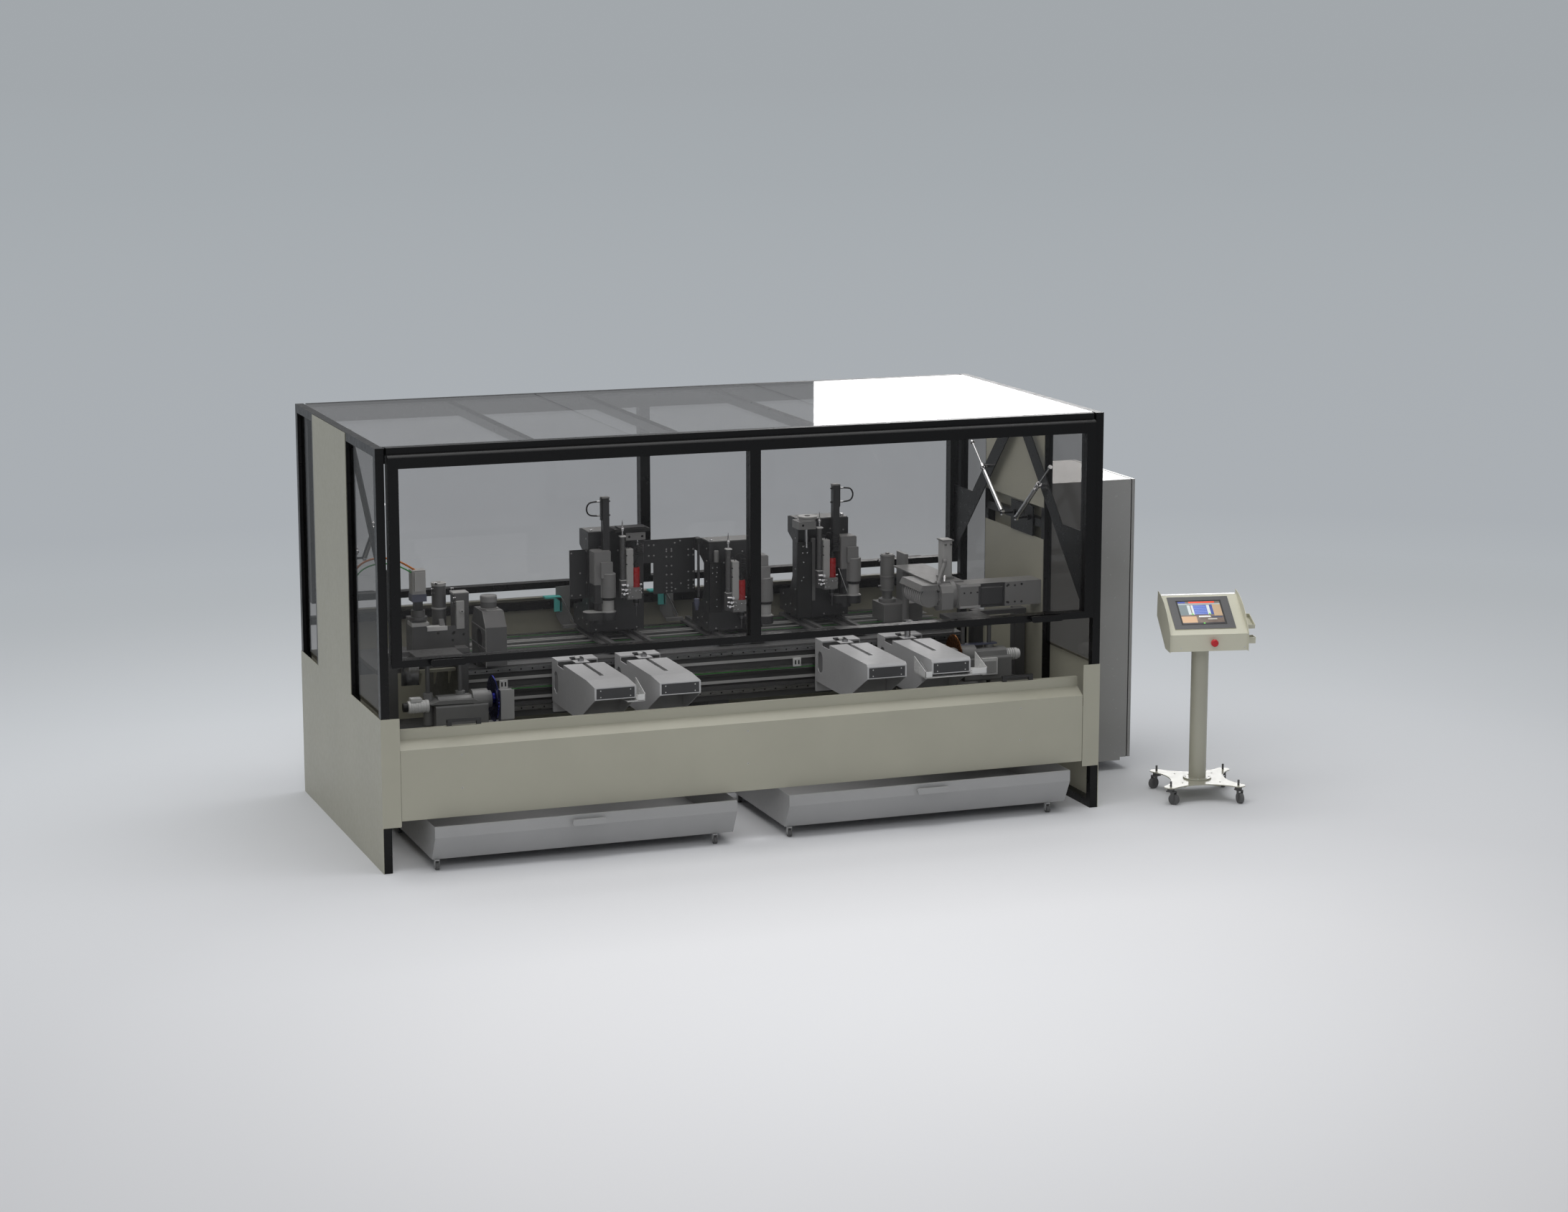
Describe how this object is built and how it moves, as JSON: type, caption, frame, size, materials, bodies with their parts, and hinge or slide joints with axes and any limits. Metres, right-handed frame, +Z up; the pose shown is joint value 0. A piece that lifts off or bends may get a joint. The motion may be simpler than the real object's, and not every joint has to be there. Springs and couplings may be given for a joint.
{
  "type": "cnc machining center",
  "caption": "Long-bed machining centre for profiles: glazed enclosure with lifting hoods, travelling heads, saws, clamps, chip bins, cabinet and wheeled console.",
  "frame": {"origin": "on the floor, under the middle of the whole object's box", "axes": "+X along the machine to the cabinet and console, +Y from the operator's side to the back, +Z up"},
  "size_m": [4.9872, 2.1686, 2.2],
  "materials": {
    "frame_black": "fine satin paint",
    "smoked_glass": "smoked, clear",
    "panel_beige": "satin paint",
    "machine_grey": "satin paint",
    "rail_steel": "ground",
    "cabinet_grey": "satin paint",
    "bin_grey": "satin paint",
    "clamp_grey": "satin paint",
    "castor_grey": "matt",
    "button_red": "glossy"
  },
  "bodies": {
    "machine": {"enclosure_frame": "frame_black", "roof_glass": "smoked_glass", "side_windows": "smoked_glass", "side_panels": "panel_beige", "front_apron": "panel_beige", "rear_panel": "panel_beige", "bed": "machine_grey", "bed_rails": "rail_steel", "gear_racks": "rail_steel", "saw_stands": "machine_grey", "left_end_unit": "machine_grey", "left_guard": "machine_grey", "right_end_unit": "machine_grey", "cabinet_body": "cabinet_grey"},
    "cabinet_door": {"cabinet_door": "cabinet_grey"},
    "front_hood": {"front_hood_frame": "frame_black", "front_hood_glass": "smoked_glass"},
    "rear_hood": {"rear_hood_frame": "frame_black", "rear_hood_glass": "smoked_glass"},
    "front_stays": {"front_stays": "rail_steel"},
    "front_stay_eyes": {"front_stay_eyes": "rail_steel"},
    "rear_stays": {"rear_stays": "rail_steel"},
    "rear_stay_eyes": {"rear_stay_eyes": "rail_steel"},
    "clamp_1": {"clamp_1": "clamp_grey"},
    "clamp_1_jaw": {"clamp_1_jaw": "rail_steel"},
    "clamp_2": {"clamp_2": "clamp_grey"},
    "clamp_2_jaw": {"clamp_2_jaw": "rail_steel"},
    "clamp_3": {"clamp_3": "clamp_grey"},
    "clamp_3_jaw": {"clamp_3_jaw": "rail_steel"},
    "clamp_4": {"clamp_4": "clamp_grey"},
    "clamp_4_jaw": {"clamp_4_jaw": "rail_steel"},
    "left_head_carriage": {"left_head_carriage": "machine_grey"},
    "left_head_column": {"left_head_column": "machine_grey"},
    "left_head_slide": {"left_head_slide": "machine_grey"},
    "left_head_tool": {"left_head_tool": "rail_steel"},
    "middle_head_carriage": {"middle_head_carriage": "machine_grey"},
    "middle_head_column": {"middle_head_column": "machine_grey"},
    "middle_head_slide": {"middle_head_slide": "machine_grey"},
    "middle_head_tool": {"middle_head_tool": "rail_steel"},
    "right_head_carriage": {"right_head_carriage": "machine_grey"},
    "right_head_column": {"right_head_column": "machine_grey"},
    "right_head_slide": {"right_head_slide": "machine_grey"},
    "right_head_tool": {"right_head_tool": "rail_steel"},
    "left_saw": {"left_saw": "machine_grey"},
    "left_blade": {"left_blade": "rail_steel"},
    "right_saw": {"right_saw": "machine_grey"},
    "right_blade": {"right_blade": "rail_steel"},
    "left_bin": {"left_bin": "bin_grey"},
    "left_bin_front_wheels": {"left_bin_front_wheels": "castor_grey"},
    "left_bin_rear_wheels": {"left_bin_rear_wheels": "castor_grey"},
    "right_bin": {"right_bin": "bin_grey"},
    "right_bin_front_wheels": {"right_bin_front_wheels": "castor_grey"},
    "right_bin_rear_wheels": {"right_bin_rear_wheels": "castor_grey"},
    "console": {"console_stand": "panel_beige", "console_head": "panel_beige"},
    "e_stop": {"e_stop": "button_red"},
    "console_castor_1": {"console_castor_1": "castor_grey"},
    "console_castor_2": {"console_castor_2": "castor_grey"},
    "console_castor_3": {"console_castor_3": "castor_grey"},
    "console_castor_4": {"console_castor_4": "castor_grey"}
  },
  "joints": [
    {"name": "cabinet_door_hinge", "type": "hinge", "parent": "machine", "child": "cabinet_door", "pos_m": [2.09736, 0.70032, 0.9], "axis": [0, 0, 1], "range_deg": [0, 110]},
    {"name": "front_hood_lift", "type": "hinge", "parent": "machine", "child": "front_hood", "pos_m": [-0.47564, 0.08032, 2.128], "axis": [-1, 0, 0], "range_deg": [0, 18]},
    {"name": "rear_hood_lift", "type": "hinge", "parent": "machine", "child": "rear_hood", "pos_m": [-0.47564, 0.08032, 2.128], "axis": [1, 0, 0], "range_deg": [0, 18]},
    {"name": "front_stays_swing", "type": "hinge", "parent": "machine", "child": "front_stays", "pos_m": [-0.47564, -0.01468, 1.5], "axis": [-1, 0, 0], "range_deg": [0, 4.5]},
    {"name": "front_eyes_swing", "type": "hinge", "parent": "front_hood", "child": "front_stay_eyes", "pos_m": [-0.47564, -0.30655, 1.73006], "axis": [1, 0, 0], "range_deg": [0, 13.5]},
    {"name": "rear_stays_swing", "type": "hinge", "parent": "machine", "child": "rear_stays", "pos_m": [-0.47564, 0.17532, 1.5], "axis": [1, 0, 0], "range_deg": [0, 4.5]},
    {"name": "rear_eyes_swing", "type": "hinge", "parent": "rear_hood", "child": "rear_stay_eyes", "pos_m": [-0.47564, 0.46719, 1.73006], "axis": [-1, 0, 0], "range_deg": [0, 13.5]},
    {"name": "clamp_1_travel", "type": "slide", "parent": "machine", "child": "clamp_1", "axis": [1, 0, 0], "range_m": [-0.25, 0.08]},
    {"name": "clamp_1_close", "type": "slide", "parent": "clamp_1", "child": "clamp_1_jaw", "axis": [0, -1, 0], "range_m": [0, 0.3]},
    {"name": "clamp_2_travel", "type": "slide", "parent": "machine", "child": "clamp_2", "axis": [1, 0, 0], "range_m": [-0.08, 0.3]},
    {"name": "clamp_2_close", "type": "slide", "parent": "clamp_2", "child": "clamp_2_jaw", "axis": [0, -1, 0], "range_m": [0, 0.3]},
    {"name": "clamp_3_travel", "type": "slide", "parent": "machine", "child": "clamp_3", "axis": [1, 0, 0], "range_m": [-0.4, 0.1]},
    {"name": "clamp_3_close", "type": "slide", "parent": "clamp_3", "child": "clamp_3_jaw", "axis": [0, -1, 0], "range_m": [0, 0.3]},
    {"name": "clamp_4_travel", "type": "slide", "parent": "machine", "child": "clamp_4", "axis": [1, 0, 0], "range_m": [-0.1, 0.005]},
    {"name": "clamp_4_close", "type": "slide", "parent": "clamp_4", "child": "clamp_4_jaw", "axis": [0, -1, 0], "range_m": [0, 0.3]},
    {"name": "left_head_x", "type": "slide", "parent": "machine", "child": "left_head_carriage", "axis": [1, 0, 0], "range_m": [-0.3, 0.005]},
    {"name": "left_head_y", "type": "slide", "parent": "left_head_carriage", "child": "left_head_column", "axis": [0, -1, 0], "range_m": [0, 0.25]},
    {"name": "left_head_z", "type": "slide", "parent": "left_head_column", "child": "left_head_slide", "axis": [0, 0, -1], "range_m": [0, 0.045]},
    {"name": "left_spindle", "type": "hinge", "parent": "left_head_slide", "child": "left_head_tool", "pos_m": [-0.71365, 0.43032, 1.074], "axis": [0, 0, 1], "continuous": true},
    {"name": "middle_head_x", "type": "slide", "parent": "machine", "child": "middle_head_carriage", "axis": [1, 0, 0], "range_m": [-0.005, 0.12]},
    {"name": "middle_head_y", "type": "slide", "parent": "middle_head_carriage", "child": "middle_head_column", "axis": [0, -1, 0], "range_m": [-0.2, 0.05]},
    {"name": "middle_head_z", "type": "slide", "parent": "middle_head_column", "child": "middle_head_slide", "axis": [0, 0, -1], "range_m": [0, 0.045]},
    {"name": "middle_spindle", "type": "hinge", "parent": "middle_head_slide", "child": "middle_head_tool", "pos_m": [-0.15876, 0.23032, 1.001], "axis": [0, 0, 1], "continuous": true},
    {"name": "right_head_x", "type": "slide", "parent": "machine", "child": "right_head_carriage", "axis": [1, 0, 0], "range_m": [-0.12, 0.1]},
    {"name": "right_head_y", "type": "slide", "parent": "right_head_carriage", "child": "right_head_column", "axis": [0, -1, 0], "range_m": [0, 0.25]},
    {"name": "right_head_z", "type": "slide", "parent": "right_head_column", "child": "right_head_slide", "axis": [0, 0, -1], "range_m": [0, 0.045]},
    {"name": "right_spindle", "type": "hinge", "parent": "right_head_slide", "child": "right_head_tool", "pos_m": [0.46235, 0.43032, 1.055], "axis": [0, 0, 1], "continuous": true},
    {"name": "left_saw_lift", "type": "slide", "parent": "machine", "child": "left_saw", "axis": [0, 0, 1], "range_m": [0, 0.09]},
    {"name": "left_blade_spin", "type": "hinge", "parent": "left_saw", "child": "left_blade", "pos_m": [-1.73864, -0.25968, 0.742], "axis": [1, 0, 0], "continuous": true},
    {"name": "right_saw_lift", "type": "slide", "parent": "machine", "child": "right_saw", "axis": [0, 0, 1], "range_m": [0, 0.09]},
    {"name": "right_blade_spin", "type": "hinge", "parent": "right_saw", "child": "right_blade", "pos_m": [0.92736, -0.25968, 0.781], "axis": [1, 0, 0], "continuous": true},
    {"name": "left_bin_out", "type": "slide", "parent": "machine", "child": "left_bin", "axis": [0, -1, 0], "range_m": [0, 0.85]},
    {"name": "left_bin_front_wheels_spin", "type": "hinge", "parent": "left_bin", "child": "left_bin_front_wheels", "pos_m": [-1.41889, -0.86768, 0.02], "axis": [1, 0, 0], "continuous": true},
    {"name": "left_bin_rear_wheels_spin", "type": "hinge", "parent": "left_bin", "child": "left_bin_rear_wheels", "pos_m": [-1.41889, -0.06968, 0.02], "axis": [1, 0, 0], "continuous": true},
    {"name": "right_bin_out", "type": "slide", "parent": "machine", "child": "right_bin", "axis": [0, -1, 0], "range_m": [0, 0.85]},
    {"name": "right_bin_front_wheels_spin", "type": "hinge", "parent": "right_bin", "child": "right_bin_front_wheels", "pos_m": [0.51661, -0.86768, 0.02], "axis": [1, 0, 0], "continuous": true},
    {"name": "right_bin_rear_wheels_spin", "type": "hinge", "parent": "right_bin", "child": "right_bin_rear_wheels", "pos_m": [0.51661, -0.06968, 0.02], "axis": [1, 0, 0], "continuous": true},
    {"name": "console_roll", "type": "slide", "parent": "machine", "child": "console", "axis": [-0.213, -0.977, 0], "range_m": [0, 0.8]},
    {"name": "e_stop_push", "type": "slide", "parent": "console", "child": "e_stop", "axis": [0.213, 0.977, 0], "range_m": [0, 0.006], "stiffness_N_per_m": 800},
    {"name": "console_castor_1_swivel", "type": "hinge", "parent": "console", "child": "console_castor_1", "pos_m": [2.42, -0.66265, 0.06], "axis": [0, 0, 1], "continuous": true},
    {"name": "console_castor_2_swivel", "type": "hinge", "parent": "console", "child": "console_castor_2", "pos_m": [2.05033, -0.56704, 0.06], "axis": [0, 0, 1], "continuous": true},
    {"name": "console_castor_3_swivel", "type": "hinge", "parent": "console", "child": "console_castor_3", "pos_m": [1.95472, -0.93671, 0.06], "axis": [0, 0, 1], "continuous": true},
    {"name": "console_castor_4_swivel", "type": "hinge", "parent": "console", "child": "console_castor_4", "pos_m": [2.3244, -1.03232, 0.06], "axis": [0, 0, 1], "continuous": true}
  ],
  "couplings": [
    {"joint": "front_stays_swing", "follows": "front_hood_lift", "ratio": 0.25},
    {"joint": "front_eyes_swing", "follows": "front_hood_lift", "ratio": 0.75},
    {"joint": "rear_stays_swing", "follows": "rear_hood_lift", "ratio": 0.25},
    {"joint": "rear_eyes_swing", "follows": "rear_hood_lift", "ratio": 0.75}
  ]
}
